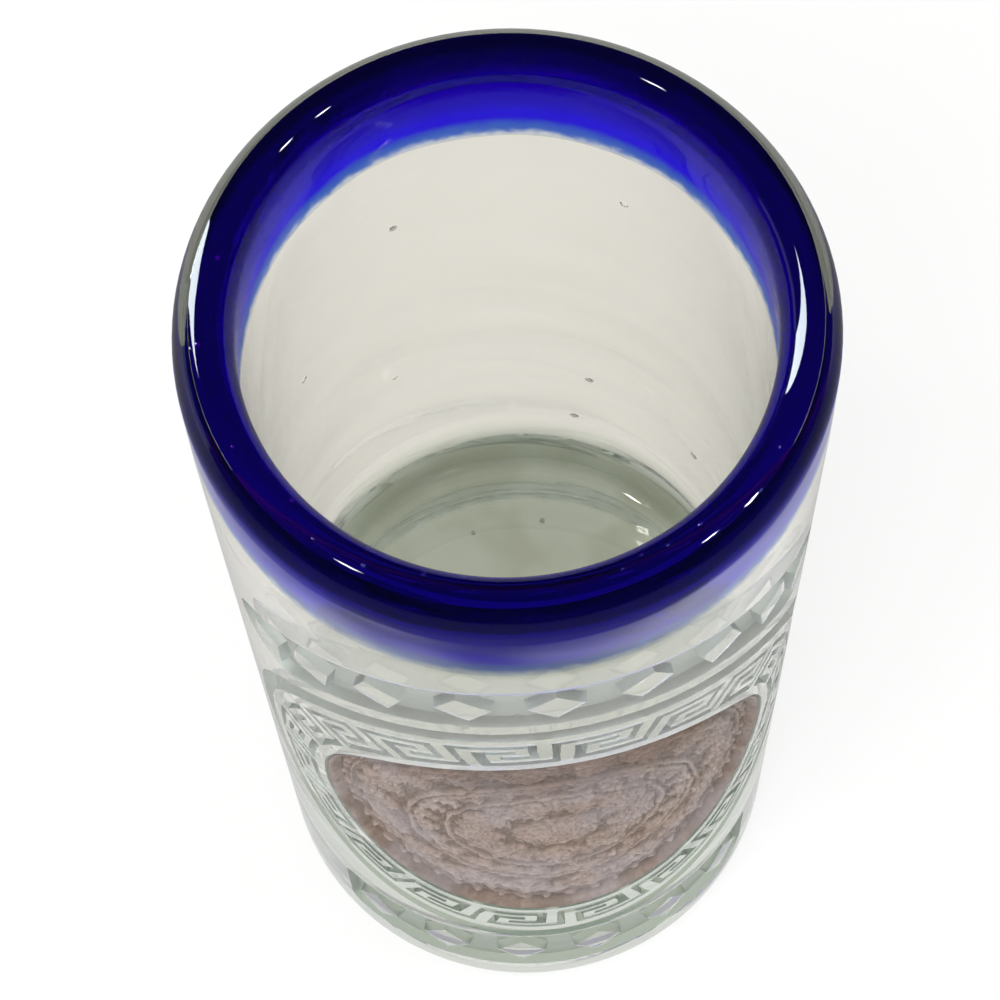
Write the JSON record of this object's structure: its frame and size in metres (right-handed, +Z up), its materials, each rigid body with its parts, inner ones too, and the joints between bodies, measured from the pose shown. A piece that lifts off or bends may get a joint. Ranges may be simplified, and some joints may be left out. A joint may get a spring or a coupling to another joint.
{
  "type": "double shot glass",
  "caption": "Straight-sided hand-blown double shot glass with a heavy clear base, cobalt-blue lip, carved key border and a copper-toned relief medallion set in the wall.",
  "frame": {"origin": "centre of the overall box at the underside, on the axis of the glass where it stands on a table", "axes": "+Z up along the axis of the glass, the medallion on the front wall faces -Y, +X to the right of someone facing the medallion"},
  "size_m": [0.046, 0.046, 0.0956],
  "materials": {
    "clear_glass": "fire-polished, frosted where it is carved",
    "cobalt_glass": "fire-polished",
    "clear_adhesive": "cured clear adhesive",
    "copper_relief": "dull aged copper"
  },
  "bodies": {
    "root": {"clear_body": "clear_glass", "cobalt_lip": "cobalt_glass", "bonding_film": "clear_adhesive", "medallion": "copper_relief"}
  },
  "joints": []
}
